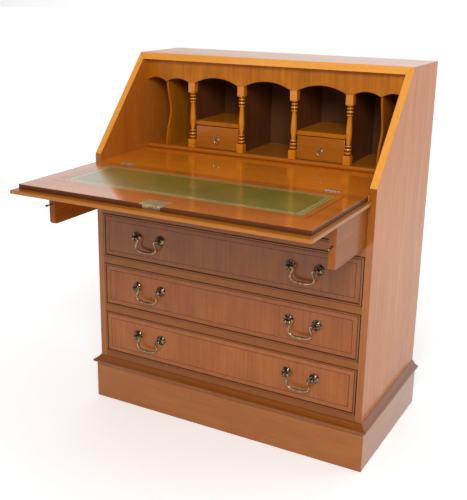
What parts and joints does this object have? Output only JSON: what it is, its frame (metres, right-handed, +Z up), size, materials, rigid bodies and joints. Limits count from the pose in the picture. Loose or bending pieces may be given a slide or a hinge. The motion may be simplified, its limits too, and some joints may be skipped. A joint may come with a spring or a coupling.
{
  "type": "fall-front writing bureau",
  "caption": "Writing bureau with a hinged leather-lined fall on pull-out lopers, a gallery of pigeonholes with small drawers, a frieze drawer and long drawers on a moulded plinth.",
  "frame": {"origin": "on the floor, in the middle of the carcase's width and depth", "axes": "+X to the right seen from the front, -Y towards the front, +Z up"},
  "size_m": [0.866, 0.807, 1.02],
  "materials": {
    "carcase_veneer": "polished yew veneer, french polish gloss",
    "drawer_veneer": "polished crossbanded yew veneer",
    "rail_veneer": "polished yew veneer, golden",
    "fall_veneer": "polished yew veneer",
    "gallery_wood": "polished golden hardwood",
    "plinth_veneer": "polished yew veneer and moulding",
    "inner_wood": "planed and sealed beech",
    "green_leather": "olive hide with a gold tooled line",
    "aged_brass": "antiqued, dark in the hollows",
    "lock_brass": "polished"
  },
  "bodies": {
    "carcase": {"left_side": "carcase_veneer", "right_side": "carcase_veneer", "top_board": "carcase_veneer", "back_panel": "inner_wood", "bottom_board": "inner_wood", "plinth_front": "plinth_veneer", "plinth_sides": "plinth_veneer", "plinth_bearers": "inner_wood", "plinth_moulding": "plinth_veneer", "drawer_rails": "rail_veneer", "drawer_runners": "inner_wood", "dust_board": "inner_wood", "loper_guides": "rail_veneer", "writing_deck": "fall_veneer", "gallery_base": "gallery_wood", "gallery_partitions": "gallery_wood", "gallery_dividers": "gallery_wood", "gallery_shelves": "gallery_wood", "gallery_valance": "gallery_wood", "gallery_balusters": "gallery_wood", "deck_hinge_leaves": "aged_brass", "hinge_pins": "aged_brass", "lock_keep": "lock_brass"},
    "fall": {"fall_board": "fall_veneer", "fall_leather": "green_leather", "fall_hinge_leaves": "aged_brass", "fall_lock": "lock_brass"},
    "lock_bolt": {"lock_bolt": "lock_brass"},
    "left_loper": {"left_loper": "carcase_veneer", "left_loper_knob": "aged_brass"},
    "right_loper": {"right_loper": "carcase_veneer", "right_loper_knob": "aged_brass"},
    "frieze_drawer": {"frieze_drawer_front": "drawer_veneer", "frieze_drawer_bead": "rail_veneer", "frieze_drawer_box": "inner_wood", "frieze_drawer_posts": "aged_brass"},
    "frieze_drawer_left_bail": {"frieze_drawer_left_bail": "aged_brass"},
    "frieze_drawer_right_bail": {"frieze_drawer_right_bail": "aged_brass"},
    "upper_drawer": {"upper_drawer_front": "drawer_veneer", "upper_drawer_bead": "rail_veneer", "upper_drawer_box": "inner_wood", "upper_drawer_posts": "aged_brass"},
    "upper_drawer_left_bail": {"upper_drawer_left_bail": "aged_brass"},
    "upper_drawer_right_bail": {"upper_drawer_right_bail": "aged_brass"},
    "middle_drawer": {"middle_drawer_front": "drawer_veneer", "middle_drawer_bead": "rail_veneer", "middle_drawer_box": "inner_wood", "middle_drawer_posts": "aged_brass"},
    "middle_drawer_left_bail": {"middle_drawer_left_bail": "aged_brass"},
    "middle_drawer_right_bail": {"middle_drawer_right_bail": "aged_brass"},
    "lower_drawer": {"lower_drawer_front": "drawer_veneer", "lower_drawer_bead": "rail_veneer", "lower_drawer_box": "inner_wood", "lower_drawer_posts": "aged_brass"},
    "lower_drawer_left_bail": {"lower_drawer_left_bail": "aged_brass"},
    "lower_drawer_right_bail": {"lower_drawer_right_bail": "aged_brass"},
    "left_small_drawer": {"left_small_drawer": "drawer_veneer"},
    "left_ring_pull": {"left_ring_pull": "aged_brass"},
    "right_small_drawer": {"right_small_drawer": "drawer_veneer"},
    "right_ring_pull": {"right_ring_pull": "aged_brass"}
  },
  "joints": [
    {"name": "fall_hinge", "type": "hinge", "parent": "carcase", "child": "fall", "pos_m": [0, -0.222, 0.736], "axis": [1, 0, 0], "range_deg": [-131.4, 0]},
    {"name": "lock_bolt_slide", "type": "slide", "parent": "fall", "child": "lock_bolt", "axis": [0, -1, 0], "range_m": [0, 0.012]},
    {"name": "left_loper_slide", "type": "slide", "parent": "carcase", "child": "left_loper", "axis": [0, -1, 0], "range_m": [-0.2305, 0]},
    {"name": "right_loper_slide", "type": "slide", "parent": "carcase", "child": "right_loper", "axis": [0, -1, 0], "range_m": [-0.1995, 0]},
    {"name": "frieze_drawer_slide", "type": "slide", "parent": "carcase", "child": "frieze_drawer", "axis": [0, -1, 0], "range_m": [0, 0.29]},
    {"name": "frieze_drawer_left_bail_pivot", "type": "hinge", "parent": "frieze_drawer", "child": "frieze_drawer_left_bail", "pos_m": [-0.238, -0.236, 0.67125], "axis": [-1, 0, 0], "range_deg": [-15, 85]},
    {"name": "frieze_drawer_right_bail_pivot", "type": "hinge", "parent": "frieze_drawer", "child": "frieze_drawer_right_bail", "pos_m": [0.238, -0.236, 0.67125], "axis": [-1, 0, 0], "range_deg": [-15, 85]},
    {"name": "upper_drawer_slide", "type": "slide", "parent": "carcase", "child": "upper_drawer", "axis": [0, -1, 0], "range_m": [0, 0.29]},
    {"name": "upper_drawer_left_bail_pivot", "type": "hinge", "parent": "upper_drawer", "child": "upper_drawer_left_bail", "pos_m": [-0.238, -0.236, 0.5285], "axis": [-1, 0, 0], "range_deg": [-15, 85]},
    {"name": "upper_drawer_right_bail_pivot", "type": "hinge", "parent": "upper_drawer", "child": "upper_drawer_right_bail", "pos_m": [0.238, -0.236, 0.5285], "axis": [-1, 0, 0], "range_deg": [-15, 85]},
    {"name": "middle_drawer_slide", "type": "slide", "parent": "carcase", "child": "middle_drawer", "axis": [0, -1, 0], "range_m": [0, 0.29]},
    {"name": "middle_drawer_left_bail_pivot", "type": "hinge", "parent": "middle_drawer", "child": "middle_drawer_left_bail", "pos_m": [-0.238, -0.236, 0.378], "axis": [-1, 0, 0], "range_deg": [-15, 85]},
    {"name": "middle_drawer_right_bail_pivot", "type": "hinge", "parent": "middle_drawer", "child": "middle_drawer_right_bail", "pos_m": [0.238, -0.236, 0.378], "axis": [-1, 0, 0], "range_deg": [-15, 85]},
    {"name": "lower_drawer_slide", "type": "slide", "parent": "carcase", "child": "lower_drawer", "axis": [0, -1, 0], "range_m": [0, 0.29]},
    {"name": "lower_drawer_left_bail_pivot", "type": "hinge", "parent": "lower_drawer", "child": "lower_drawer_left_bail", "pos_m": [-0.238, -0.236, 0.2275], "axis": [-1, 0, 0], "range_deg": [-15, 85]},
    {"name": "lower_drawer_right_bail_pivot", "type": "hinge", "parent": "lower_drawer", "child": "lower_drawer_right_bail", "pos_m": [0.238, -0.236, 0.2275], "axis": [-1, 0, 0], "range_deg": [-15, 85]},
    {"name": "left_small_drawer_slide", "type": "slide", "parent": "carcase", "child": "left_small_drawer", "axis": [0, -1, 0], "range_m": [0, 0.12]},
    {"name": "left_ring_pivot", "type": "hinge", "parent": "left_small_drawer", "child": "left_ring_pull", "pos_m": [-0.16225, 0.027, 0.7823], "axis": [-1, 0, 0], "range_deg": [0, 80]},
    {"name": "right_small_drawer_slide", "type": "slide", "parent": "carcase", "child": "right_small_drawer", "axis": [0, -1, 0], "range_m": [0, 0.12]},
    {"name": "right_ring_pivot", "type": "hinge", "parent": "right_small_drawer", "child": "right_ring_pull", "pos_m": [0.16225, 0.027, 0.7823], "axis": [-1, 0, 0], "range_deg": [0, 80]}
  ]
}
